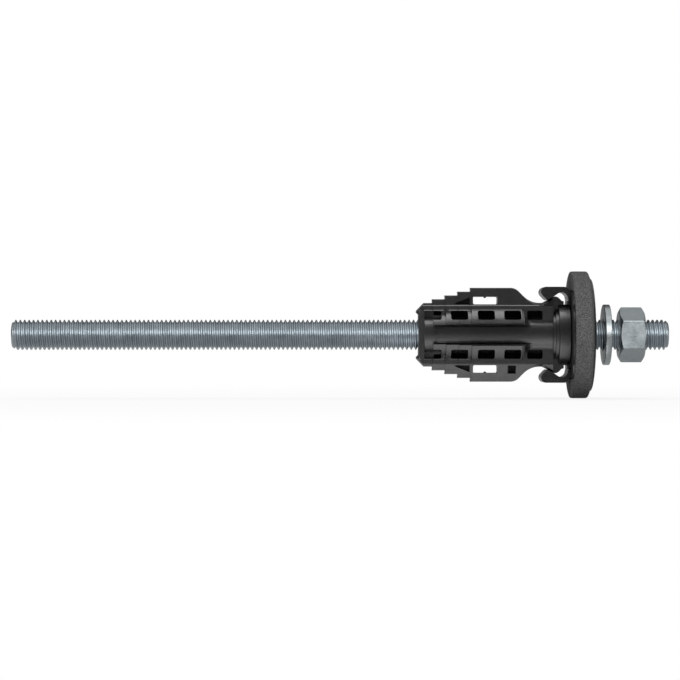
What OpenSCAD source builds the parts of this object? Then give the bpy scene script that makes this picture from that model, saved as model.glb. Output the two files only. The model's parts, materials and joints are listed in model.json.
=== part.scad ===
// Stand-off anchor for fixing through wall insulation. A threaded anchor rod and a threaded
// stud are held apart in a moulded insulating cone. A foam sealing disc on a snap-on carrier
// closes the cone's rear end, and a washer and a nut run on the stud.
// The axis lies along X, and +X points to the free end of the stud. The origin is on the axis,
// in the outer face of the sealing disc, where the attached fixture seats. The two wings of
// the cone point to +Z and -Z. All sizes are in millimetres.

/* [Overall] */
// Overall length, from the end of the anchor rod to the end of the stud
overall_len = 259.4; // [180:0.1:400]

/* [Threaded ends] */
// Nominal diameter of both threads
thread_d = 12; // [11:0.1:12.4]
// Pitch of both threads
thread_pitch = 1.75; // [1.25:0.25:2]
// Depth to which the anchor rod is held in the cone
rod_in = 22; // [14:1:26]
// Length of the stud beyond the sealing disc
stud_out = 30.5; // [26:0.5:60]
// Depth to which the stud is held in the cone
stud_in = 24; // [14:1:26]
// Length of the chamfer at each end of a thread
end_chamfer = 1.2; // [0.6:0.1:1.6]
// Radial clearance of a thread in its plastic seat and in the nut
thread_gap = 0.05; // [0.03:0.01:0.09]

/* [Cone] */
// Overall length of the cone
cone_len = 60.4; // [57:0.1:75]
// Distance of the nose plate's front from the points of the teeth
nose_back = 0.9; // [0.5:0.1:1.5]
// Distance of the core tube's front end from the points of the teeth
nose_len = 3; // [2.4:0.1:4]
// Thickness of the nose plate over the rod's thread
nose_wall = 0.25; // [0.15:0.05:0.4]
// Wall of the core tube outside the threads
tube_wall = 1.3; // [1:0.05:1.5]
// Number of steps on each wing, with the crown as the last
step_count = 5; // [4:1:5]
// Length of one step
step_len = 5.03; // [4.6:0.01:5.4]
// Rise from one step of a wing to the next
wing_rise = 1.5; // [1.2:0.05:1.6]
// Rise from one step of the barrel to the next
barrel_rise = 0.8; // [0.7:0.05:1.1]
// Radius of the turned crown of the wings
crown_r = 18.6; // [17:0.1:20]
// Radius of the barrel's largest step
barrel_r = 11.55; // [11.2:0.05:11.7]
// Thickness of the wings along the barrel at the crown
wing_t = 10.8; // [10:0.1:11.4]
// Loss of thickness on each side from one step of a wing to the one in front
wing_narrow = 0.4; // [0.2:0.05:0.5]
// Height by which the outer part of each wing face is set back
wing_set_back = 0.3; // [0.15:0.05:0.5]
// Angle by which the outer part of each wing face leans in
wing_lean = 14; // [8:1:16]
// Height of the wing where its outer part starts
lean_start = 11.4; // [11.2:0.05:11.6]
// Depth of the groove at the foot of each step
groove_depth = 0.25; // [0.1:0.05:0.4]
// Width of the groove at the foot of each step
groove_w = 0.35; // [0.2:0.05:0.5]
// Length of the pointed tooth in front of the first step
tooth_len = 2.9; // [2:0.1:3.2]
// Radius of the tip of the tooth
tooth_r = 9.6; // [8.8:0.05:10]

/* [Rear of the cone] */
// Radius of the collar at the rear end
collar_r = 12.05; // [11.6:0.05:12.2]
// Length of the collar
collar_len = 6.5; // [5.6:0.1:7.6]
// Radius of the wings at the neck in front of the bead
neck_r = 12.65; // [12.2:0.05:13]
// Distance of the neck's lowest point from the rear end
neck_back = 11.5; // [10.5:0.1:12.5]
// Radius of the crest of the snap bead
bead_r = 15.2; // [14.6:0.05:15.4]
// Distance of the bead's crest from the rear end
bead_back = 5.3; // [5:0.1:5.6]
// Rounding of the bead's crest
bead_round = 2; // [1.2:0.1:2.4]
// Angle of the bead's slope towards the neck
bead_rise_angle = 28; // [26:1:36]
// Thickness of the bead beside the collar
bead_t = 5; // [3:0.1:5.4]
// Angle of the wing's trailing flank
flank_angle = 45; // [38:1:55]
// Radius of the rounded end of the crown
flank_convex = 4.5; // [3:0.1:6]
// Radius of the hollow between the flank and the neck
flank_hollow = 9; // [7:0.1:10]
// Distance from the neck's lowest point to the barrel's rear end
barrel_back = 7.1; // [6.9:0.1:9]

/* [Windows] */
// Length of one window in the barrel
win_len = 6.7; // [5:0.1:7.4]
// Distance from one window to the next
win_pitch = 10.4; // [9:0.05:10.6]
// Length of the last window, which ends past the neck
win_last_len = 6.1; // [4:0.1:7]
// Distance of the first window from the nose
win_start = 3.2; // [3.1:0.1:4.5]
// Distance of the inner edge of the windows from the middle plane
win_low = 5.85; // [5.6:0.05:6.2]
// Distance of the outer edge of the windows from the middle plane
win_high = 9.5; // [9:0.05:9.8]
// Corner radius of the windows
win_round = 0.75; // [0.3:0.05:1.2]
// Width of the raised frame around each window
frame_w = 1.4; // [1:0.1:1.6]
// Height of the raised frame above the wing face
frame_rise = 0.35; // [0.2:0.05:0.6]
// Depth of the first window's shallow floor
sill_depth = 1.2; // [0.8:0.1:1.6]
// Thickness of the web that closes the windows in the middle
web_t = 1.2; // [1:0.1:3]
// Length of the opening through each wing
slot_len = 9.8; // [7:0.1:11]
// Height of the opening through each wing
slot_h = 3.05; // [2.6:0.05:3.5]
// Distance of the opening from the start of the crown
slot_start = 0.85; // [0.6:0.05:1.2]
// Width of the rib between the opening and the pocket in front of it
slot_rib = 1.3; // [0.8:0.1:1.6]
// Length of the three-cornered pocket in each wing
corner_len = 5.8; // [4:0.1:7]
// Side of the square pocket in one wing face
square_side = 3.25; // [2:0.05:3.6]
// Depth of the pockets in the wing faces
pocket_depth = 3.4; // [1:0.1:3.8]

/* [Name band] */
// Half width of the plain band along the barrel's channel
band_half = 3.05; // [2.6:0.05:3.1]
// Height of the band above the core tube
band_rise = 0.6; // [0.3:0.05:0.7]
// Width of the ridge around the band
ridge_w = 0.35; // [0.25:0.05:0.5]
// Height of the ridge above the band
ridge_rise = 0.25; // [0.15:0.05:0.35]
// Length of the band
band_len = 37.5; // [20:0.5:38]
// Length over which the band's rear end runs out
band_fade = 5; // [2:0.5:8]

/* [Sealing disc] */
// Diameter of the foam disc
foam_d = 50.3; // [46:0.1:60]
// Thickness of the foam disc
foam_t = 7.7; // [6:0.1:10]
// Rounding of the foam's edges
foam_round = 0.5; // [0.3:0.1:0.6]
// Length of the bevel between the foam's rim and the outer plate
foam_bevel = 0.9; // [0.5:0.1:2]
// Diameter of the outer plate
plate_d = 44.4; // [38:0.2:44.6]
// Thickness of the outer plate
plate_t = 0.6; // [0.5:0.1:1.5]
// Width of the foam's rim around the carrier's base
base_rim = 0.9; // [0.8:0.1:2]
// Half height of the carrier's base along the arms
base_half_z = 16.9; // [16.6:0.05:17.4]
// Corner radius of the carrier's base
base_round = 13; // [8:0.5:14]
// Thickness of the carrier's base
base_t = 1.2; // [0.8:0.05:1.6]
// Depth of the carrier's base below the foam's face
base_sink = 0.1; // [0.05:0.05:0.4]
// Clearance between the carrier and the foam
foam_gap = 0.25; // [0.2:0.05:0.35]
// Outer diameter of the carrier's hub
hub_d = 17; // [15.5:0.5:20]
// Diameter of the hole for the stud in the hub and the plate
hub_bore = 12.8; // [12.6:0.1:13.4]
// Clearance between the cone's rear end and the foam's face
cone_gap = 0.4; // [0.3:0.1:0.9]

/* [Snap arms] */
// Width of a snap arm
arm_w = 13; // [9:0.5:16]
// Height of an arm's outer face above the axis
arm_r = 18.9; // [18.7:0.05:19.3]
// Distance by which an arm reaches in front of the foam's face
arm_reach = 11.8; // [11.4:0.1:12.4]
// Thickness of an arm's leg at the disc
leg_t = 1.4; // [1:0.05:1.6]
// Height of the leg's inner end above the axis
leg_low = 13.4; // [13:0.05:13.6]
// Gap between an arm and the bead that it grips
snap_gap = 0.15; // [0.1:0.05:0.3]

/* [Washer and nut] */
// Outer diameter of the washer
washer_d = 24; // [22:0.5:37]
// Hole of the washer
washer_bore = 13; // [12.8:0.1:13.5]
// Thickness of the washer
washer_t = 2.5; // [2:0.1:3]
// Distance of the washer from the sealing disc
washer_at = 4.9; // [1:0.1:8]
// Width across the flats of the nut
nut_s = 19; // [18:0.5:21]
// Thickness of the nut
nut_t = 10; // [8:0.1:10.8]
// Distance of the nut from the washer
nut_apart = 3.6; // [0.5:0.1:5]

/* [Hidden] */
$fn = 96;
ARC_STEPS = 7;
CUT = 1;
thread_r = thread_d / 2;
nut_bore_r = thread_r + thread_gap;
hold_r = thread_r - 0.3248 * thread_pitch;
seat_r = hold_r + thread_gap;
tube_r = thread_r + tube_wall;
plate_x = -plate_t;
foam_x = plate_x - foam_t;
cone_rear = foam_x - cone_gap;
cone_nose = cone_rear - cone_len;
rod_end = stud_out - overall_len;
nose_x = cone_nose + nose_back;
tube_x = cone_nose + nose_len;
step_x0 = cone_nose + tooth_len;
first_len = 3.5;
crown_x = step_x0 + first_len + (step_count - 2) * step_len;
neck_x = cone_rear - neck_back;
bead_x = cone_rear - bead_back;
barrel_end = neck_x - barrel_back;
collar_x = cone_rear - collar_len;
wing_half = wing_t / 2;
base_half_y = foam_d / 2 - base_rim;
riser_lean = 0.15;
riser_fillet = 0.5;
slot_x = crown_x + slot_start;
slot_low = lean_start + 0.6;
frame_lap = 0.6;
washer_x = washer_at;
nut_x = washer_x + washer_t + nut_apart;

// Points on an arc around c from angle a to angle b
function arc(c, r, a, b, n = ARC_STEPS) =
    [for (i = [0 : n]) let (t = a + (b - a) * i / n) c + r * [cos(t), sin(t)]];

// Start of step i of the wings and the barrel, and its two radii
function step_start(i) = i == 0 ? step_x0 : step_x0 + first_len + (i - 1) * step_len;
function wing_step_r(i) = crown_r - (step_count - 1 - i) * wing_rise;
function barrel_step_r(i) = barrel_r - (step_count - 1 - i) * barrel_rise;

// Half thickness of a wing along the barrel at step i
function step_half(i) = wing_half - (step_count - 1 - i) * wing_narrow;

// Solid turned about X from a profile of [x, radius] points
module turned(points) {
    rotate([0, 90, 0]) rotate_extrude() polygon([for (p = points) [p[1], p[0]]]);
}

// Cylinder along X from x0 to x1
module rod_x(x0, x1, r, r2 = -1) {
    translate([x0, 0, 0]) rotate([0, 90, 0]) cylinder(h = x1 - x0, r1 = r, r2 = r2 < 0 ? r : r2);
}

// Prism along Y, from a 2-D outline of x and z, between y0 and y1
module along_y(y0, y1) {
    translate([0, y1, 0]) rotate([90, 0, 0]) linear_extrude(y1 - y0) children();
}

// Prism along X, from a 2-D outline of y and z, between x0 and x1
module along_x(x0, x1) {
    translate([x0, 0, 0]) rotate([90, 0, 90]) linear_extrude(x1 - x0) children();
}

// Rectangle with rounded corners between two opposite corners
module rounded_rect(low, high, r) {
    translate([low[0] + r, low[1]]) square([high[0] - low[0] - 2 * r, high[1] - low[1]]);
    translate([low[0], low[1] + r]) square([high[0] - low[0], high[1] - low[1] - 2 * r]);
    for (x = [low[0] + r, high[0] - r], y = [low[1] + r, high[1] - r])
        translate([x, y]) circle(r);
}

// Copies for the wing at +Z and the wing at -Z
module both_wings() {
    children();
    mirror([0, 0, 1]) children();
}

// Threaded shank from its held end at x0 past the seat's mouth to its free end at x1. It is a
// plain cylinder over the crests, and at the thread's middle radius where plastic fills the
// thread. It has a chamfer at each end.
module shank(x0, mouth, x1) {
    out = sign(x1 - x0);
    turned([[x0, 0], [x0, hold_r - end_chamfer], [x0 + out * end_chamfer, hold_r],
            [mouth, hold_r], [mouth, thread_r], [x1 - out * end_chamfer, thread_r],
            [x1, thread_r - end_chamfer], [x1, 0]]);
}

// Turned outline of the wings: tooth, steps with hollowed risers, crown, flank, neck and bead
function wing_outline() =
    let (
        convex_c = [neck_x - flank_run(), crown_r - flank_convex],
        hollow_c = [neck_x, neck_r + flank_hollow],
        bead_c = [bead_x, bead_r - bead_round],
        bead_foot = bead_c + bead_round * [-sin(bead_rise_angle), cos(bead_rise_angle)],
        rise_x = bead_foot[0] - (bead_foot[1] - neck_r) / tan(bead_rise_angle),
        fall_top = bead_c + bead_round * [sin(45), cos(45)],
        ledge_r = collar_r + 1.45,
        fall_x = fall_top[0] + fall_top[1] - ledge_r,
        ledge_end = max(cone_rear - 2.1, fall_x + 0.2)
    )
    concat(
        [[nose_x, 0], [nose_x, tooth_r - 0.8], [cone_nose, tooth_r]],
        [[step_x0, wing_step_r(0)]],
        [for (i = [1 : step_count - 1]) each step_riser(step_start(i), wing_step_r(i - 1),
                                                       wing_step_r(i))],
        arc(convex_c, flank_convex, 90, 90 - flank_angle),
        arc(hollow_c, flank_hollow, -90 - flank_angle, -90),
        [[min(rise_x, bead_x), neck_r]],
        arc(bead_c, bead_round, 90 + bead_rise_angle, 45),
        [[fall_x, ledge_r], [ledge_end, ledge_r - 0.1], [ledge_end, collar_r - 0.1],
         [cone_rear - 0.2, collar_r - 0.1], [cone_rear - 0.2, 0]]);

// Length of the trailing flank along X, from the crown's end to the neck
function flank_run() =
    let (drop = crown_r - neck_r - (flank_convex + flank_hollow) * (1 - cos(flank_angle)))
    (flank_convex + flank_hollow) * sin(flank_angle) + drop / tan(flank_angle);

// Riser between two steps, with a hollow at its base and a sharp edge that leans forward
function step_riser(x, low, high) =
    concat(arc([x - riser_fillet, low + riser_fillet], riser_fillet, -90, 0, 3),
           [[x - riser_lean, high]]);

// Turned outline of the barrel, with a rounded rear end that runs out into the core tube
function barrel_outline() =
    let (
        edge = 0.6,
        drop_x = barrel_end + 0.5,
        run_r = 0.95 * (barrel_r - tube_r),
        run_start = 188
    )
    concat(
        [[step_start(1), 0], [step_start(1), barrel_step_r(1)]],
        [for (i = [2 : step_count - 1]) each [[step_start(i), barrel_step_r(i - 1)],
                                             [step_start(i), barrel_step_r(i)]]],
        arc([barrel_end - edge, barrel_r - edge], edge, 90, 10, 4),
        arc([drop_x + run_r, tube_r + run_r], run_r, run_start, 270),
        [[drop_x + run_r + CUT, 0]]);

// Cross-section of the two wings at one step, whose outer faces are set back and lean in
module wing_section(half) {
    top = crown_r + CUT;
    low = lean_start + wing_set_back;
    low_half = half - wing_set_back;
    top_half = low_half - (top - low) * tan(wing_lean);
    polygon([[-half, -lean_start], [-half, lean_start], [-low_half, low], [-top_half, top],
             [top_half, top], [low_half, low], [half, lean_start], [half, -lean_start],
             [low_half, -low], [top_half, -top], [-top_half, -top], [-low_half, -low]]);
}

// Cross-section of the hollow fillets between the core tube and the wing faces
module fillet_section() {
    fillet_r = 2.6;
    centre_y = wing_half + fillet_r;
    centre_z = sqrt(pow(tube_r + fillet_r, 2) - pow(centre_y, 2));
    touch = tube_r / (tube_r + fillet_r) * [centre_y, centre_z];
    for (a = [-1, 1], b = [-1, 1])
        scale([a, b])
            difference() {
                polygon([[wing_half - CUT, touch[1] - CUT], [touch[0] - 0.4, touch[1] - 0.4], touch,
                         [centre_y, centre_z], [wing_half - CUT, centre_z]]);
                translate([centre_y, centre_z]) circle(fillet_r);
            }
}

// The wings: the turned outline cut down to the wing sections of the steps and of the bead
module wings() {
    intersection() {
        turned(wing_outline());
        for (i = [0 : step_count - 1])
            along_x(i == 0 ? cone_nose - CUT : step_start(i),
                    i == step_count - 1 ? collar_x : step_start(i + 1) + CUT)
                wing_section(step_half(i));
    }
    intersection() {
        turned(wing_outline());
        along_x(collar_x - CUT, cone_rear + CUT) square([bead_t, 2 * crown_r], center = true);
    }
}

// Flat plate between the teeth, through which the rod comes out
module nose_plate() {
    plate_high = win_high + 0.4;
    intersection() {
        turned(wing_outline());
        along_x(nose_x, tube_x) square([2 * (thread_r + nose_wall), 2 * plate_high], center = true);
    }
}

// The stepped barrel between the wings, with a channel with slanted walls on each side
module barrel() {
    channel_low = band_half + 0.25;
    channel_top = channel_low + 1.5;
    top = barrel_r + CUT;
    difference() {
        turned(barrel_outline());
        for (side = [-1, 1])
            along_x(cone_nose, collar_x)
                polygon([[side * (tube_r - 1.2), -channel_low], [side * (tube_r - 1.2), channel_low],
                         [side * top, channel_top], [side * top, -channel_top]]);
    }
}

// Start of window i, and the number of windows that fit along the barrel
function window_x(i) = cone_nose + win_start + i * win_pitch;
function window_count() = floor((barrel_end - win_len - window_x(0)) / win_pitch) + 1;

// Outline of the windows above the middle plane: those along the barrel, and one past its end
module window_row() {
    last_end = neck_x + 0.8;
    for (i = [0 : window_count() - 1])
        rounded_rect([window_x(i), win_low], [window_x(i) + win_len, win_high], win_round);
    rounded_rect([last_end - win_last_len, win_low], [last_end, win_high], win_round);
}

// Raised frames with rounded corners around the windows in the barrel
module window_frames() {
    for (i = [0 : step_count - 2]) {
        frame_half = step_half(i) + frame_rise;
        intersection() {
            both_wings() along_y(-frame_half, frame_half) window_rims();
            along_x(i == 0 ? cone_nose - CUT : step_start(i), step_start(i + 1) + CUT)
                frame_section(frame_half);
        }
    }
}

// Cross-section of the frames at one step, sloped outside the windows
module frame_section(half) {
    high = win_high + frame_lap;
    high_half = half - frame_rise - 0.2;
    polygon([[-half, -win_high], [-half, win_high], [-high_half, high], [high_half, high],
             [half, win_high], [half, -win_high], [high_half, -high], [-high_half, -high]]);
}

// Outlines of the raised frames above the middle plane
module window_rims() {
    for (i = [0 : window_count() - 1])
        rounded_rect([window_x(i) - frame_w, band_half + 1],
                     [window_x(i) + win_len + frame_w, win_high + frame_lap], 1.5);
}

// Pockets behind the windows, from each side down to the web in the middle
module window_pockets() {
    both_wings() {
        along_y(-barrel_r - CUT, -web_t / 2) window_row();
        along_y(web_t / 2, barrel_r + CUT) window_row();
    }
}

// Shallow floor of the first window, which is low behind the first step of the barrel
module window_sill() {
    sill_top = (win_low + win_high) / 2;
    both_wings() {
        along_x(window_x(0) - CUT / 2, step_start(1) + CUT / 2)
            translate([-step_half(0) + sill_depth, win_low - CUT / 2])
                square([2 * (step_half(0) - sill_depth), win_high - win_low + CUT]);
        along_x(step_start(1), window_x(0) + win_len + CUT / 2)
            translate([-step_half(1) + sill_depth, win_low - CUT / 2])
                square([2 * (step_half(1) - sill_depth), sill_top - win_low + CUT / 2]);
    }
}

// Grooves in the faces of the wings, the frames and the barrel, at the foot of each step
module step_grooves() {
    for (i = [1 : step_count - 1])
        along_x(step_start(i) - groove_w / 3, step_start(i) + 2 * groove_w / 3)
            difference() {
                square([2 * barrel_r + CUT, 2 * lean_start - 1], center = true);
                square([2 * (step_half(i - 1) - groove_depth), 2 * lean_start], center = true);
                circle((i == 1 ? tube_r : barrel_step_r(i - 1)) - groove_depth);
            }
}

// The opening through a wing, with a small round nub on its outer edge
module wing_slot() {
    nub_r = 0.5;
    nub_t = 3;
    difference() {
        along_y(-wing_t, wing_t)
            rounded_rect([slot_x, slot_low], [slot_x + slot_len, slot_low + slot_h], 0.6);
        along_y(-nub_t / 2, nub_t / 2)
            translate([slot_x + slot_len / 2, slot_low + slot_h]) circle(nub_r);
    }
}

// Three-cornered pocket in both faces of a wing, in front of the opening
module corner_pocket() {
    x1 = slot_x - slot_rib;
    x0 = x1 - corner_len;
    for (side = [-1, 1])
        along_y(side < 0 ? -wing_t : wing_half - pocket_depth,
                side < 0 ? pocket_depth - wing_half : wing_t)
            polygon([[x0, slot_low], [x1, slot_low], [x1, slot_low + slot_h - 0.25],
                     [x0, slot_low + 0.5]]);
}

// Square pocket in one face of a wing, behind the opening
module square_pocket() {
    x0 = slot_x + slot_len + 3.8;
    along_y(-wing_t, pocket_depth - wing_half)
        rounded_rect([x0, slot_low + 0.1],
                     [x0 + square_side, slot_low + 0.1 + square_side], 0.2);
}

// Collar at the cone's rear end, with two lower steps towards the neck
module collar() {
    first_r = collar_r - 2.75;
    second_r = collar_r - 1.75;
    second_x = collar_x + 0.8;
    full_x = collar_x + 2.1;
    edge = 0.15;
    turned([[collar_x, 0], [collar_x, first_r], [second_x, first_r], [second_x + edge, second_r],
            [full_x, second_r], [full_x + edge, collar_r], [cone_rear - edge, collar_r],
            [cone_rear, collar_r - edge], [cone_rear, 0]]);
}

// Core tube around both threads
module core_tube() {
    edge = 0.2;
    turned([[nose_x, 0], [nose_x, thread_r], [tube_x, thread_r], [tube_x, tube_r - edge],
            [tube_x + edge, tube_r], [cone_rear, tube_r], [cone_rear, 0]]);
}

// Profile of a band of radius r that starts before x0 and runs out into the core tube
function band_profile(x0, r) =
    [[x0 - CUT, 0], [x0 - CUT, r], [x0 + band_len - band_fade, r],
     [x0 + band_len, tube_r - 0.05], [x0 + band_len, 0]];

// Plain band along the channel on both sides, with a thin ridge around it
module name_band() {
    x0 = cone_nose + 8;
    intersection() {
        turned(band_profile(x0, tube_r + band_rise));
        along_y(-barrel_r, barrel_r)
            rounded_rect([x0, -band_half], [x0 + band_len, band_half], 0.9);
    }
    intersection() {
        turned(band_profile(x0, tube_r + band_rise + ridge_rise));
        along_y(-barrel_r, barrel_r)
            difference() {
                rounded_rect([x0, -band_half], [x0 + band_len, band_half], 0.9);
                rounded_rect([x0 + ridge_w, ridge_w - band_half],
                             [x0 + band_len - ridge_w, band_half - ridge_w], 0.6);
            }
    }
}

// Both thread seats, closed at their inner ends by the plastic between rod and stud
module thread_seats() {
    rod_x(cone_nose - CUT, cone_nose + rod_in, seat_r);
    rod_x(cone_rear - stud_in, cone_rear + CUT, seat_r);
}

// Outline of the carrier's base, from the front
module base_outline(grow = 0) {
    intersection() {
        rounded_rect([-base_half_y - grow, -base_half_z - grow],
                     [base_half_y + grow, base_half_z + grow], base_round + grow);
        circle(base_half_y + grow);
    }
}

// Side outline of a snap arm: leg on the base, rounded outer corner, hook behind the bead
function arm_outline() =
    let (
        front = foam_x + base_sink - leg_t,
        nose = foam_x - arm_reach,
        corner = 2.1,
        nose_r = 2,
        nose_turn = 135,
        arch_r = 2.4,
        arch_turn = 130,
        arch_low = leg_low + 0.9,
        rise = bead_rise_angle,
        grip = [bead_x, bead_r - bead_round] + (bead_round + snap_gap) * [-sin(rise), cos(rise)],
        grip_len = 2.6,
        tip = grip - grip_len * [1, tan(rise)]
    )
    concat(
        [[foam_x + base_sink, arm_r - corner]],
        arc([front + 0.6 - corner, arm_r - corner], corner, 20, 90, 5),
        arc([nose + nose_r, arm_r - nose_r], nose_r, 90, 90 + nose_turn, 9),
        [tip + [-0.5, 0.3], tip, grip],
        arc([front - arch_r, arch_low], arch_r, arch_turn, 0, 9),
        [[front + 0.3, leg_low], [foam_x + base_sink, leg_low]]);

// Snap arm, of which the leg stands on the base
module snap_arm() {
    along_y(-arm_w / 2, arm_w / 2) polygon(arm_outline());
}

module threaded_rod() {
    color("lightsteelblue") shank(cone_nose + rod_in, nose_x, rod_end);
}

module stud() {
    color("lightsteelblue") shank(cone_rear - stud_in, cone_rear, stud_out);
}

module cone_body() {
    color([0.13, 0.13, 0.14])
        difference() {
            union() {
                difference() {
                    union() {
                        wings();
                        barrel();
                        window_frames();
                        along_x(barrel_end, collar_x + CUT) fillet_section();
                    }
                    window_pockets();
                    both_wings() {
                        wing_slot();
                        corner_pocket();
                    }
                    mirror([0, 0, 1]) square_pocket();
                    mirror([0, 1, 0]) square_pocket();
                    step_grooves();
                }
                window_sill();
                nose_plate();
                core_tube();
                collar();
                name_band();
            }
            thread_seats();
        }
}

module seal_carrier() {
    base_x = foam_x + base_sink;
    color([0.16, 0.16, 0.17])
        difference() {
            union() {
                along_x(base_x, base_x + base_t) base_outline();
                rod_x(base_x, plate_x, hub_d / 2);
                both_wings() snap_arm();
            }
            rod_x(base_x - CUT, CUT, hub_bore / 2);
        }
}

module foam_seal() {
    foam_r = foam_d / 2;
    color([0.33, 0.34, 0.35])
        difference() {
            turned(concat([[foam_x, 0]],
                          arc([foam_x + foam_round, foam_r - foam_round], foam_round, 180, 90, 4),
                          [[plate_x - foam_bevel - 0.25, foam_r],
                           [plate_x - foam_bevel + 0.05, foam_r - 0.3],
                           [plate_x, plate_d / 2 + 0.3], [plate_x, 0]]));
            along_x(foam_x - CUT, foam_x + base_sink + base_t) base_outline(foam_gap);
            rod_x(foam_x, CUT, hub_d / 2 + foam_gap);
        }
}

module outer_plate() {
    edge = 0.2;
    color([0.2, 0.2, 0.21])
        difference() {
            turned([[plate_x, 0], [plate_x, plate_d / 2], [-edge, plate_d / 2],
                    [0, plate_d / 2 - edge], [0, 0]]);
            rod_x(plate_x - CUT, CUT, hub_bore / 2);
        }
}

module washer() {
    edge = 0.2;
    washer_r = washer_d / 2;
    color("silver")
        difference() {
            turned([[washer_x, 0], [washer_x, washer_r - edge], [washer_x + edge, washer_r],
                    [washer_x + washer_t - edge, washer_r],
                    [washer_x + washer_t, washer_r - edge], [washer_x + washer_t, 0]]);
            rod_x(washer_x - CUT, washer_x + washer_t + CUT, washer_bore / 2);
        }
}

module hex_nut() {
    corner_r = nut_s / 2 / cos(30);
    face_r = nut_s / 2 * 0.96;
    bevel = (corner_r - face_r) * tan(30);
    sink = 0.6;
    color("lightsteelblue")
        difference() {
            intersection() {
                translate([nut_x, 0, 0]) rotate([0, 90, 0])
                    cylinder(h = nut_t, r = corner_r, $fn = 6);
                turned([[nut_x, 0], [nut_x, face_r], [nut_x + bevel, corner_r],
                        [nut_x + nut_t - bevel, corner_r], [nut_x + nut_t, face_r],
                        [nut_x + nut_t, 0]]);
            }
            rod_x(nut_x - CUT, nut_x + nut_t + CUT, nut_bore_r);
            rod_x(nut_x, nut_x + sink, nut_bore_r + sink, nut_bore_r);
            rod_x(nut_x + nut_t - sink, nut_x + nut_t, nut_bore_r, nut_bore_r + sink);
        }
}

threaded_rod();
cone_body();
stud();
seal_carrier();
foam_seal();
outer_plate();
washer();
hex_nut();
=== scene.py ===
import json
import math

import bmesh
import bpy
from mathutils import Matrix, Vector, noise


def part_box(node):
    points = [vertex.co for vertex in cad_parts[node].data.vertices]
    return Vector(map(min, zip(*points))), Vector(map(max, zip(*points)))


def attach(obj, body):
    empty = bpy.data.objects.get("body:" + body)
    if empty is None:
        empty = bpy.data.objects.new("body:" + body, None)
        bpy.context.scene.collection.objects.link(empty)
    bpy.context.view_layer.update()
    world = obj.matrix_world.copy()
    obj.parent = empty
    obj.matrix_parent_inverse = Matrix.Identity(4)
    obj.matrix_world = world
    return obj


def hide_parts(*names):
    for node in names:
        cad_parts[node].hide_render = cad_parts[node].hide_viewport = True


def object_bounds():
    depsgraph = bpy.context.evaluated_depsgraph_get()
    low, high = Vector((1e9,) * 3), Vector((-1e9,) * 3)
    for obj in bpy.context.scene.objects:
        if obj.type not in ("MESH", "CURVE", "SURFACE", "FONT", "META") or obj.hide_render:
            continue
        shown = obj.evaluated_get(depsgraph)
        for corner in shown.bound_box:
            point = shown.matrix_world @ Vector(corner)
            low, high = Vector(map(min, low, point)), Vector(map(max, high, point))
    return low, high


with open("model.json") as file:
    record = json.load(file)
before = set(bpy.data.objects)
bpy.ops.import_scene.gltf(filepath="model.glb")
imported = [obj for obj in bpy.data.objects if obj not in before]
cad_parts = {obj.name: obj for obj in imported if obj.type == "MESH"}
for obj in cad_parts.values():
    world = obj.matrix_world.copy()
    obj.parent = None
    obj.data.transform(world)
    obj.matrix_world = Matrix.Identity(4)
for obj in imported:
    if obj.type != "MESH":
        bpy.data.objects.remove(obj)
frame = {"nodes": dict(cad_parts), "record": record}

# Stand-off anchor: threaded rod and stud in a winged insulating cone, foam sealing disc on a
# snap-on carrier, washer and nut. The axis lies along X, the camera looks along +Y, and all
# lengths are in metres.

CAD_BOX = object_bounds()
MM = 0.001

# Threads
PITCH = 1.75 * MM
THREAD_STEPS = 52  # per turn
HOLD_RADIUS = 5.43 * MM  # inside the cone
END_RADIUS = 4.8 * MM  # at the chamfered ends
LEAST_RADIUS = 3 * MM
NOSE_DEEP = 0.9 * MM  # how far the rod's free thread reaches into the cone's nose
# The thread's profile over one pitch, as share of the pitch and depth below the crest
THREAD_PROFILE = [(-0.06, 0.0), (0.06, 0.0), (0.10, 0.07 * MM), (0.335, 0.88 * MM),
                  (0.40, 1.02 * MM), (0.50, 1.07 * MM), (0.60, 1.02 * MM), (0.665, 0.88 * MM),
                  (0.90, 0.07 * MM)]
# The helix starts before its first cut, and has spare turns to reach past the second
THREAD_LEAD = 1.5  # pitches
SPARE_TURNS = 3
CUT_SLACK = 0.0001 * MM
SHARP_ANGLE = 38  # degrees

# Foam disc
FOAM_VOXEL = 0.45 * MM
FOAM_SOFTNESS = 0.5
FOAM_ROUNDS = 2  # of softening
FOAM_PIT_DEPTH = 0.09 * MM
FOAM_PIT_SIZE = 1.1 * MM
FOAM_FINE_SHARE = 0.4  # of finer pits
FOAM_FINER = 2.3  # how many times finer they are

# Nearer points become one, and so do faces with fewer degrees between them
WELD = 0.002 * MM
FLAT_ANGLE = 0.5

# Nut: rounding of the edges that are longer and farther out than these bounds
NUT_EDGE = 0.22 * MM
NUT_EDGE_STEPS = 3
NUT_LONG_EDGE = 5 * MM
NUT_CORNER_RADIUS = 9 * MM

# Plate and washer: rounding of the edges that have more degrees between their faces
PLATE_RIM = 0.1 * MM
WASHER_RIM = 0.12 * MM
RIM_STEPS = 2
RIM_ANGLE = 25

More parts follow.
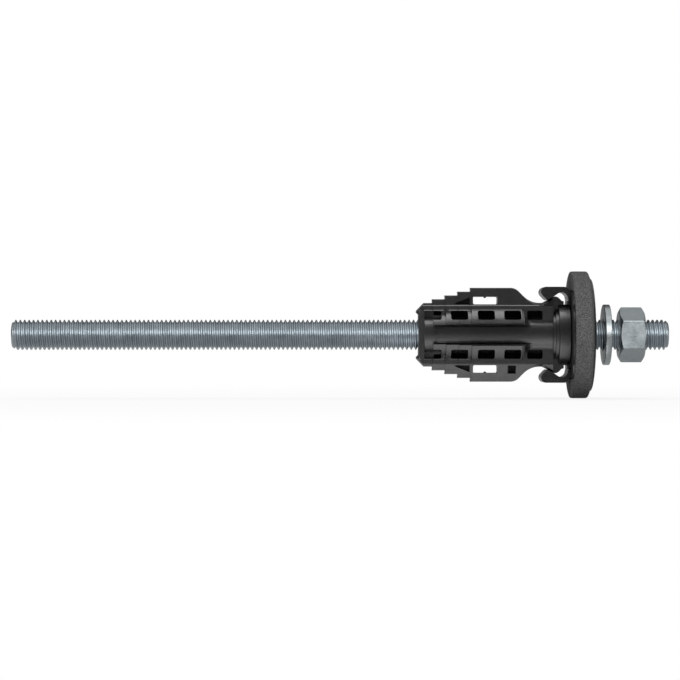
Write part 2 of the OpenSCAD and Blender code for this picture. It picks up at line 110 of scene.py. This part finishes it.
# Deep places of the cone that get painted shade and a matte surface: the least and greatest x, the
# least and greatest distance from the axis along Z, the distance along Y up to which a place
# reaches, and its share of the painted shade
WINDOWS = (-69 * MM, -15 * MM, 5.9 * MM, 9.5 * MM, 2.4 * MM, 1)
THREE_CORNERED_POCKETS = (-53.4 * MM, -47.4 * MM, 11.9 * MM, 15.3 * MM, 2.6 * MM, 0.7)
SQUARE_POCKETS = (-32.7 * MM, -29.2 * MM, 11.9 * MM, 15.5 * MM, 3.0 * MM, 0.9)
SHADED_PLACES = [WINDOWS, THREE_CORNERED_POCKETS, SQUARE_POCKETS]
PLACE_EDGE = 0.1 * MM  # soft change at a place's walls
PLACE_FLOOR = 0.5 * MM  # soft change above its floor
# Near-black colour painted as shade into the cone's deep places and the carrier's gap
PAINTED_SHADE_TONE = (0.001, 0.001, 0.001)

# The gap between the collar and the foam, on the carrier, which gets painted shade, with a soft
# change at its rim
GAP_FROM = -8.85 * MM
GAP_TO = -5.9 * MM
GAP_RADIUS = 17.5 * MM
GAP_RIM = 2.4 * MM

# Black nylon's paler marks, from its base tone
PALE_TIMES = 1.6
PALE_MORE = 0.004

# Camera: place and lens that match the photograph's perspective
CAMERA_AT = Vector((-0.0992, -0.940, -0.00206))
CAMERA_LENS = 125.63
CAMERA_SENSOR = 36

# The object's middle, at which most lamps point
MIDDLE = (-0.08, 0, 0)

# The studio's air: its level, that of a bright band at the back, and the parts of a unit
# direction's Z and Y over which the band fades
AIR_DIM = 0.11
AIR_BRIGHT = 0.27
AIR_BAND = (0.10, 0.34)
AIR_REAR = (0, 0.35)

# The floor: half its side, its drop below the object and its tone
FLOOR_HALF = 4
FLOOR_DROP = 0.1 * MM
FLOOR_TONE = 0.66
# The camera sees this level at the object and 1 far off, and it turns between these distances,
# in which the part along X counts less
FLOOR_WHITE = 0.85
FLOOR_FADE = (0.03, 0.32)
FLOOR_X_SHARE = 0.6
# Reflections see a bright patch of the floor: it fades round a line along X under the cone,
# more quickly past the line's ends, and is weaker behind
PATCH_LEVEL = 1.6
PATCH_MIDDLE = (-0.038, -0.018)
PATCH_HALF = 0.028
PATCH_FADE = (0.008, 0.07)
PATCH_X_SHARE = 2.5
PATCH_BACK = (-0.024, 0.004)
PATCH_BACK_SHARE = 0.25
# Elsewhere they see a level that turns from the rod's value to the stud's between two X
GLOSS_ROD = 0.55
GLOSS_STUD = 0.47
GLOSS_TURN = (-0.10, 0)


# Shader helpers

class Graph:
    """The nodes of a material or of the world."""

    def __init__(self, tree):
        self.nodes, self.links = tree.nodes, tree.links

    def node(self, kind, **values):
        """A new node with its properties set."""
        made = self.nodes.new(kind)
        for key, value in values.items():
            setattr(made, key, value)
        return made

    def feed(self, value, target):
        """Gives an input another node's output or a constant."""
        if isinstance(value, bpy.types.NodeSocket):
            self.links.new(value, target)
        else:
            target.default_value = value

    def math(self, operation, *values):
        """One step of arithmetic on sockets and numbers."""
        made = self.node("ShaderNodeMath", operation=operation)
        for target, value in zip(made.inputs, values):
            self.feed(value, target)
        return made.outputs[0]

    def parts(self, vector):
        """The X, Y and Z of a vector."""
        split = self.node("ShaderNodeSeparateXYZ")
        self.feed(vector, split.inputs["Vector"])
        return [split.outputs[axis] for axis in "XYZ"]

    def distance(self, first, second):
        """The length of a vector with two parts."""
        squares = self.math("ADD", self.math("POWER", first, 2), self.math("POWER", second, 2))
        return self.math("SQRT", squares)

    def spread(self, source, low, high, from_low=0.3, from_high=0.7, kind="LINEAR"):
        """Turns a value's range into another and holds it at the ends."""
        made = self.node("ShaderNodeMapRange", interpolation_type=kind)
        for key, value in (("From Min", from_low), ("From Max", from_high),
                           ("To Min", low), ("To Max", high)):
            made.inputs[key].default_value = value
        self.feed(source, made.inputs["Value"])
        return made.outputs["Result"]

    def smooth(self, source, bounds, low, high):
        """A smooth step between two bounds, from one level to another."""
        return self.spread(source, low, high, *bounds, kind="SMOOTHSTEP")


class Shader(Graph):
    """A material's node tree around one Principled shader."""

    def __init__(self, name):
        self.material = bpy.data.materials.new(name)
        self.material.use_nodes = True
        super().__init__(self.material.node_tree)
        self.principled = self.nodes["Principled BSDF"]
        self.coordinates = self.node("ShaderNodeTexCoord").outputs["Object"]

    def noise(self, scale, detail, rough=0.55, stretch=(1, 1, 1)):
        """Noise on the object, finer along the axes that have a greater stretch."""
        mapping = self.node("ShaderNodeMapping")
        mapping.inputs["Scale"].default_value = stretch
        self.feed(self.coordinates, mapping.inputs["Vector"])
        made = self.node("ShaderNodeTexNoise")
        for key, value in (("Scale", scale), ("Detail", detail), ("Roughness", rough),
                           ("Vector", mapping.outputs["Vector"])):
            self.feed(value, made.inputs[key])
        return made.outputs["Fac"]

    def cells(self, scale):
        """Distance to the middles of small cells."""
        made = self.node("ShaderNodeTexVoronoi")
        made.inputs["Scale"].default_value = scale
        self.feed(self.coordinates, made.inputs["Vector"])
        return made.outputs["Distance"]

    def ramp(self, source, *stops):
        """A colour ramp between two stops, each a position and a colour."""
        made = self.node("ShaderNodeValToRGB")
        for element, (position, colour) in zip(made.color_ramp.elements, stops):
            element.position = position
            element.color = (*colour, 1)
        self.feed(source, made.inputs["Fac"])
        return made.outputs["Color"]

    def blend(self, first, second, share):
        """The first colour with a share of the second."""
        made = self.node("ShaderNodeMix", data_type="RGBA")
        for name, value in (("Factor", share), ("A", first), ("B", second)):
            target = next(given for given in made.inputs if given.name == name and given.enabled)
            self.feed((*value, 1) if isinstance(value, tuple) else value, target)
        return next(result for result in made.outputs if result.enabled)

    def mixed(self, first, second, share):
        """The first number with a share of the second."""
        rest = self.math("SUBTRACT", 1, share)
        return self.math("ADD", self.math("MULTIPLY", rest, first),
                         self.math("MULTIPLY", share, second))

    def below(self, value, bound, soft):
        """1 below a bound and 0 above it, with a soft change."""
        return self.spread(value, 0, 1, bound + soft, bound - soft)

    def within(self, value, low, high, soft):
        """1 between two bounds and 0 outside, with soft changes."""
        above = self.spread(value, 0, 1, low - soft, low + soft)
        return self.math("MULTIPLY", above, self.below(value, high, soft))

    def pocket_shade(self):
        """Mask of painted shade: 1 in the cone's windows and pockets and 0 elsewhere."""
        x, y, z = self.parts(self.coordinates)
        across, up = self.math("ABSOLUTE", y), self.math("ABSOLUTE", z)
        painted_shade = 0
        for x_low, x_high, z_low, z_high, y_high, share in SHADED_PLACES:
            place = self.math("MULTIPLY", self.within(x, x_low, x_high, PLACE_EDGE),
                              self.within(up, z_low, z_high, PLACE_EDGE))
            place = self.math("MULTIPLY", place, self.below(across, y_high, PLACE_FLOOR))
            painted_shade = self.math("MAXIMUM", painted_shade, self.math("MULTIPLY", place, share))
        return painted_shade

    def gap_shade(self):
        """Mask of painted shade: 1 in the gap behind the collar, round the axis, and 0 elsewhere.
        """
        x, y, z = self.parts(self.coordinates)
        return self.math("MULTIPLY", self.within(x, GAP_FROM, GAP_TO, PLACE_EDGE),
                         self.below(self.distance(y, z), GAP_RADIUS, GAP_RIM))

    def bump(self, *layers):
        """Bump layers, each a height socket and a depth in metres, one over the other."""
        normal = None
        for height, depth in layers:
            made = self.node("ShaderNodeBump")
            made.inputs["Distance"].default_value = depth
            self.feed(height, made.inputs["Height"])
            if normal:
                self.feed(normal, made.inputs["Normal"])
            normal = made.outputs["Normal"]
        self.feed(normal, self.principled.inputs["Normal"])

    def set(self, **values):
        """Feeds inputs of the Principled shader and returns the material."""
        for key, value in values.items():
            self.feed(value, self.principled.inputs[key.replace("_", " ")])
        return self.material


# Finishes, with noise scales per metre

def zinc(name, dark, light, rough, grain, grain_depth):
    """Bluish zinc plate: cloudy tone, fine drawn grain and dulled patches."""
    shader = Shader(name)
    cloud = shader.noise(scale=260, detail=5)
    speck = shader.noise(scale=2400, detail=3)
    drawn = shader.noise(scale=900, detail=3, stretch=grain)
    clouds = shader.ramp(cloud, (0.32, dark), (0.68, light))
    specks = shader.ramp(speck, (0.38, dark), (0.62, light))
    shader.bump((drawn, grain_depth), (speck, 0.02 * MM))
    return shader.set(Base_Color=shader.blend(clouds, specks, share=0.35), Metallic=1.0,
                      Roughness=shader.spread(cloud, rough - 0.05, rough + 0.06))


def nylon(name, base, rough, grain_depth, specular, shade_mask=None):
    """Black moulded nylon: satin skin with fine glass-fibre grain and faint flow marks. Where a
    shade mask is given, its places get painted shade, near black, and a matte surface."""
    shader = Shader(name)
    fibre = shader.noise(scale=1500, detail=4, stretch=(0.35, 1, 1))
    flow = shader.noise(scale=120, detail=3, stretch=(0.3, 1, 1))
    skin = shader.noise(scale=420, detail=5)
    pale = tuple(level * PALE_TIMES + PALE_MORE for level in base)
    flow_marks = shader.ramp(flow, (0.3, base), (0.75, pale))
    fibres = shader.ramp(fibre, (0.42, base), (0.66, pale))
    tone = shader.blend(flow_marks, fibres, share=0.4)
    shader.bump((skin, 0.03 * MM), (fibre, grain_depth))
    roughness = shader.spread(skin, rough - 0.05, rough + 0.07)
    if shade_mask:
        painted_shade = shade_mask(shader)
        # Painted shade: the mask's places are coloured near black and made matte
        tone = shader.blend(tone, PAINTED_SHADE_TONE, share=painted_shade)
        roughness = shader.mixed(roughness, 1.0, share=painted_shade)
    return shader.set(Base_Color=tone, Roughness=roughness, Specular_IOR_Level=specular)


def foam(name):
    """Grey closed-cell foam: mottled tone, tiny open cells with painted shade in their pits, fine
    grain and a dry surface.
    """
    shader = Shader(name)
    mottle = shader.noise(scale=330, detail=6, rough=0.65)
    cell = shader.cells(scale=1150)
    grain = shader.noise(scale=2000, detail=2, rough=0.7)
    fine = shader.noise(scale=1900, detail=4)
    patches = shader.ramp(mottle, (0.33, (0.062, 0.062, 0.062)), (0.68, (0.107, 0.107, 0.106)))
    # Painted shade: the cells' middles, which the bump sinks as pits, are coloured darker
    pit_shade = shader.ramp(cell, (0.12, (0.045, 0.045, 0.045)), (0.34, (0.108, 0.108, 0.107)))
    grains = shader.ramp(grain, (0.38, (0.018, 0.018, 0.018)), (0.62, (0.158, 0.158, 0.156)))
    tone = shader.blend(shader.blend(patches, pit_shade, share=0.45), grains, share=0.55)
    shader.bump((mottle, 0.12 * MM), (cell, 0.10 * MM), (fine, 0.04 * MM))
    return shader.set(Base_Color=tone, Roughness=0.92, Specular_IOR_Level=0.25)


MATERIALS = {
    "zinc_rod": zinc("zinc_rod", dark=(0.325, 0.368, 0.395), light=(0.485, 0.530, 0.562),
                     rough=0.34, grain=(3, 1, 1), grain_depth=0.03 * MM),
    "zinc_washer": zinc("zinc_washer", dark=(0.32, 0.352, 0.362), light=(0.49, 0.52, 0.53),
                        rough=0.28, grain=(4, 1, 1), grain_depth=0.05 * MM),
    "zinc_nut": zinc("zinc_nut", dark=(0.295, 0.332, 0.346), light=(0.435, 0.474, 0.489),
                     rough=0.32, grain=(1, 1, 1), grain_depth=0.04 * MM),
    # The cone's windows and pockets get painted shade
    "black_nylon": nylon("black_nylon", base=(0.027, 0.027, 0.0275), rough=0.35,
                         grain_depth=0.04 * MM, specular=1.0, shade_mask=Shader.pocket_shade),
    # The carrier's gap behind the collar gets painted shade, near black
    "black_clip": nylon("black_clip", base=(0.030, 0.030, 0.0305), rough=0.24,
                        grain_depth=0.006 * MM, specular=0.45, shade_mask=Shader.gap_shade),
    "dark_plate": nylon("dark_plate", base=(0.016, 0.016, 0.017), rough=0.55,
                        grain_depth=0.05 * MM, specular=0.6),
    "grey_foam": foam("grey_foam"),
}
SLOTS = {part["node"]: part["material_slot"] for part in frame["record"]["subparts"]}


# Pieces

def add_object(name, data):
    """A new object in the scene."""
    added = bpy.data.objects.new(name, data)
    bpy.context.scene.collection.objects.link(added)
    return added


def dress(piece, node):
    """Gives a piece the finish of a CAD node's slot."""
    piece.data.materials.clear()
    piece.data.materials.append(MATERIALS[SLOTS[node]])


def add_piece(name, mesh, node, body="anchor"):
    """A new piece that stands for a CAD node, with the finish of its slot."""
    piece = add_object(name, mesh)
    dress(piece, node)
    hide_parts(node)
    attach(piece, body)
    return piece


def screw_mesh(name, x_from, x_to, crest, radius_at):
    """Right-hand helical thread between two planes, held below radius_at(x)."""
    turns = math.ceil((x_to - x_from) / PITCH) + SPARE_TURNS
    thread = bmesh.new()
    rows = []
    for step in range(turns * THREAD_STEPS + 1):
        angle = 2 * math.pi * step / THREAD_STEPS
        row = []
        for share, depth in THREAD_PROFILE:
            x = x_from + PITCH * (step / THREAD_STEPS + share - THREAD_LEAD)
            radius = min(crest - depth, radius_at(x))
            row.append(thread.verts.new((x, radius * math.cos(angle), radius * math.sin(angle))))
        rows.append(row)
    # A row ends at the first point of the row that is one turn further on
    for step in range((turns - 1) * THREAD_STEPS):
        here = rows[step] + [rows[step + THREAD_STEPS][0]]
        there = rows[step + 1] + [rows[step + THREAD_STEPS + 1][0]]
        for place in range(len(THREAD_PROFILE)):
            thread.faces.new((here[place], here[place + 1], there[place + 1], there[place]))
    for x, side in ((x_from, -1), (x_to, 1)):
        bmesh.ops.bisect_plane(thread, geom=thread.verts[:] + thread.edges[:] + thread.faces[:],
                               plane_co=(x, 0, 0), plane_no=(side, 0, 0), clear_outer=True)
        rim = [edge for edge in thread.edges if edge.is_boundary
               and all(abs(vertex.co.x - x) < CUT_SLACK for vertex in edge.verts)]
        bmesh.ops.contextual_create(thread, geom=rim)
    bmesh.ops.recalc_face_normals(thread, faces=thread.faces[:])
    mesh = bpy.data.meshes.new(name)
    thread.to_mesh(mesh)
    thread.free()
    mesh.shade_smooth()
    mesh.set_sharp_from_angle(angle=math.radians(SHARP_ANGLE))
    return mesh


def add_thread(node, free_from=-math.inf, free_to=math.inf):
    """The rod or the stud with a real thread. Where it isn't free, the cone holds it at the
    thread's middle radius."""
    low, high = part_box(node)
    crest = high.z

    def radius_at(x):
        top = crest if free_from < x < free_to else HOLD_RADIUS
        from_end = max(min(x - low.x, high.x - x), 0)
        return max(min(top, END_RADIUS + from_end - (crest - top)), LEAST_RADIUS)

    mesh = screw_mesh(node + "_thread", low.x, high.x, crest, radius_at)
    return add_piece(node + "_thread", mesh, node)


def add_foam():
    """The foam disc: remeshed from its solid, softened, and pitted by closed cells."""
    piece = add_piece("foam_disc", frame["nodes"]["foam_seal"].data.copy(), "foam_seal")
    remesh = piece.modifiers.new("skin", "REMESH")
    remesh.mode = "VOXEL"
    remesh.voxel_size = FOAM_VOXEL
    soften = piece.modifiers.new("soften", "SMOOTH")
    soften.factor = FOAM_SOFTNESS
    soften.iterations = FOAM_ROUNDS
    evaluated = piece.evaluated_get(bpy.context.evaluated_depsgraph_get())
    mesh = bpy.data.meshes.new_from_object(evaluated)
    piece.modifiers.clear()
    piece.data = mesh
    # All normals are read first, because they change as soon as points move
    normals = [vertex.normal.copy() for vertex in mesh.vertices]
    for vertex, normal in zip(mesh.vertices, normals):
        place = vertex.co / FOAM_PIT_SIZE
        pit = (0.5 + 0.5 * noise.noise(place)
               + FOAM_FINE_SHARE * noise.noise(place * FOAM_FINER))
        vertex.co -= normal * FOAM_PIT_DEPTH * max(pit, 0)
    mesh.shade_smooth()
    dress(piece, "foam_seal")
    return piece


def add_nut():
    """The nut with the long edges of its hexagon slightly rounded, as cold forming leaves them."""
    mesh = frame["nodes"]["hex_nut"].data.copy()
    nut = bmesh.new()
    nut.from_mesh(mesh)
    bmesh.ops.remove_doubles(nut, verts=nut.verts[:], dist=WELD)
    bmesh.ops.dissolve_limit(nut, angle_limit=math.radians(FLAT_ANGLE), verts=nut.verts[:],
                             edges=nut.edges[:])
    corners = []
    for edge in nut.edges:
        start, end = (vertex.co for vertex in edge.verts)
        least_radius = min(math.hypot(point.y, point.z) for point in (start, end))
        if abs(start.x - end.x) > NUT_LONG_EDGE and least_radius > NUT_CORNER_RADIUS:
            corners.append(edge)
    bmesh.ops.bevel(nut, geom=corners, offset=NUT_EDGE, segments=NUT_EDGE_STEPS, profile=0.5,
                    affect="EDGES", clamp_overlap=False)
    nut.to_mesh(mesh)
    nut.free()
    return add_piece("hex_nut_formed", mesh, "hex_nut", body="nut")


def finish_node(node, rim=None):
    """Gives a CAD node its finish, and rounds its rims by modifiers where a width is given."""
    piece = frame["nodes"][node]
    if rim:
        piece.modifiers.new("weld", "WELD").merge_threshold = WELD
        bevel = piece.modifiers.new("edges", "BEVEL")
        bevel.width = rim
        bevel.segments = RIM_STEPS
        bevel.limit_method = "ANGLE"
        bevel.angle_limit = math.radians(RIM_ANGLE)
    dress(piece, node)
    return piece


# Studio

def area_light(name, at, target, size, radiance, only=None):
    """Rectangular soft light of a given radiance, hidden from the camera, for all pieces or only
    for some."""
    data = bpy.data.lights.new(name, "AREA")
    data.shape = "RECTANGLE"
    data.size, data.size_y = size
    data.energy = radiance * math.pi * size[0] * size[1]
    light = add_object(name, data)
    light.location = at
    light.rotation_euler = (Vector(target) - Vector(at)).to_track_quat("-Z", "Y").to_euler()
    light.visible_camera = False
    if only:
        lit = bpy.data.collections.new(name)
        for piece in only:
            lit.objects.link(piece)
        light.light_linking.receiver_collection = lit


def add_world():
    """Dim studio air with a bright band low at the back. The camera itself sees it as white."""
    world = bpy.data.worlds.new("studio")
    bpy.context.scene.world = world
    world.use_nodes = True
    graph = Graph(world.node_tree)
    _, y, z = graph.parts(graph.node("ShaderNodeTexCoord").outputs["Generated"])
    rear = graph.smooth(y, AIR_REAR, 0, 1)
    low = graph.smooth(graph.math("ABSOLUTE", z), AIR_BAND, 1, 0)
    air = graph.smooth(graph.math("MULTIPLY", rear, low), (0, 1), AIR_DIM, AIR_BRIGHT)
    camera_ray = graph.node("ShaderNodeLightPath").outputs["Is Camera Ray"]
    background = graph.nodes["Background"]
    background.inputs["Color"].default_value = (1, 1, 1, 1)
    graph.feed(graph.math("MAXIMUM", air, camera_ray), background.inputs["Strength"])


def white_for_camera(graph, x, y):
    """The floor's level for the camera: 1 far off and a little less at the object."""
    along = graph.math("MULTIPLY", graph.math("ADD", x, -MIDDLE[0]), FLOOR_X_SHARE)
    return graph.smooth(graph.distance(along, y), FLOOR_FADE, FLOOR_WHITE, 1)


def white_for_gloss(graph, x, y):
    """The floor's level for reflections: a bright patch under the cone, and less elsewhere."""
    from_middle = graph.math("ABSOLUTE", graph.math("ADD", x, -PATCH_MIDDLE[0]))
    past_end = graph.math("MAXIMUM", graph.math("SUBTRACT", from_middle, PATCH_HALF), 0)
    off_line = graph.distance(graph.math("MULTIPLY", past_end, PATCH_X_SHARE),
                              graph.math("ADD", y, -PATCH_MIDDLE[1]))
    patch = graph.math("MULTIPLY", graph.smooth(off_line, PATCH_FADE, PATCH_LEVEL, 0),
                       graph.smooth(y, PATCH_BACK, 1, PATCH_BACK_SHARE))
    return graph.math("MAXIMUM", patch, graph.smooth(x, GLOSS_TURN, GLOSS_ROD, GLOSS_STUD))


def floor_material():
    """Pale floor that shows its own white levels to the camera and to reflections."""
    material = bpy.data.materials.new("floor")
    material.use_nodes = True
    graph = Graph(material.node_tree)
    graph.nodes.clear()
    x, y, _ = graph.parts(graph.node("ShaderNodeTexCoord").outputs["Object"])
    path = graph.node("ShaderNodeLightPath")
    camera = graph.math("MULTIPLY", path.outputs["Is Camera Ray"], white_for_camera(graph, x, y))
    glossy = path.outputs["Is Glossy Ray"]

    pale = graph.node("ShaderNodeBsdfDiffuse")
    pale.inputs["Color"].default_value = (FLOOR_TONE, FLOOR_TONE, FLOOR_TONE, 1)
    white = graph.node("ShaderNodeEmission")
    change = graph.math("SUBTRACT", white_for_gloss(graph, x, y), 1)
    strength = graph.math("ADD", graph.math("MULTIPLY", glossy, change), 1)
    graph.feed(strength, white.inputs["Strength"])
    mix = graph.node("ShaderNodeMixShader")
    graph.feed(graph.math("MAXIMUM", camera, glossy), mix.inputs["Fac"])
    graph.feed(pale.outputs["BSDF"], mix.inputs[1])
    graph.feed(white.outputs["Emission"], mix.inputs[2])
    output = graph.node("ShaderNodeOutputMaterial")
    graph.feed(mix.outputs["Shader"], output.inputs["Surface"])
    return material


def add_floor():
    """Square floor just under the disc's rim."""
    mesh = bpy.data.meshes.new("floor")
    z = CAD_BOX[0].z - FLOOR_DROP
    corners = [(x * FLOOR_HALF, y * FLOOR_HALF, z) for x, y in ((-1, -1), (1, -1), (1, 1), (-1, 1))]
    mesh.from_pydata(corners, [], [(0, 1, 2, 3)])
    mesh.materials.append(floor_material())
    floor = add_object("floor", mesh)
    return floor


def add_camera():
    """The photograph's view: level, and square to the axis."""
    camera = add_object("camera", bpy.data.cameras.new("camera"))
    camera.location = CAMERA_AT
    camera.rotation_euler = (math.radians(90), 0, 0)
    camera.data.lens = CAMERA_LENS
    camera.data.sensor_width = CAMERA_SENSOR
    camera.data.clip_start = 0.01
    camera.data.clip_end = 20
    bpy.context.scene.camera = camera


CONE_NOSE, CONE_REAR = (corner.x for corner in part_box("cone_body"))
METAL_AND_FOAM = [add_thread("threaded_rod", free_to=CONE_NOSE + NOSE_DEEP),
                  add_thread("stud", free_from=CONE_REAR), add_foam(), add_nut(),
                  finish_node("washer", WASHER_RIM)]
PLASTIC_AND_FLOOR = [finish_node("cone_body"), finish_node("seal_carrier"),
                     finish_node("outer_plate", PLATE_RIM), add_floor()]

# Lamps: name, place, target, size, radiance and the pieces that they light, if not all
OVERHEAD = ((MIDDLE[0], 0.11, 0.70), (MIDDLE[0], 0.11, 0), (1.7, 0.78))
LAMPS = [
    ("overhead", *OVERHEAD, 2.6, PLASTIC_AND_FLOOR),
    ("metal overhead", *OVERHEAD, 0.66, METAL_AND_FOAM),
    ("metal front", (MIDDLE[0], -0.90, 0.36), MIDDLE, (1.4, 0.50), 3.15, METAL_AND_FOAM),
    ("metal upper", (MIDDLE[0], -0.57, 0.76), MIDDLE, (1.4, 0.60), 1.0, METAL_AND_FOAM),
    ("left strip", (-1.15, 0.61, 0.10), MIDDLE, (1.2, 0.12), 0.8),
    ("right strip", (0.95, 0.61, 0.10), MIDDLE, (1.2, 0.12), 0.8),
]
for lamp in LAMPS:
    area_light(*lamp)
add_world()
add_camera()
bpy.context.scene.view_settings.view_transform = "Standard"
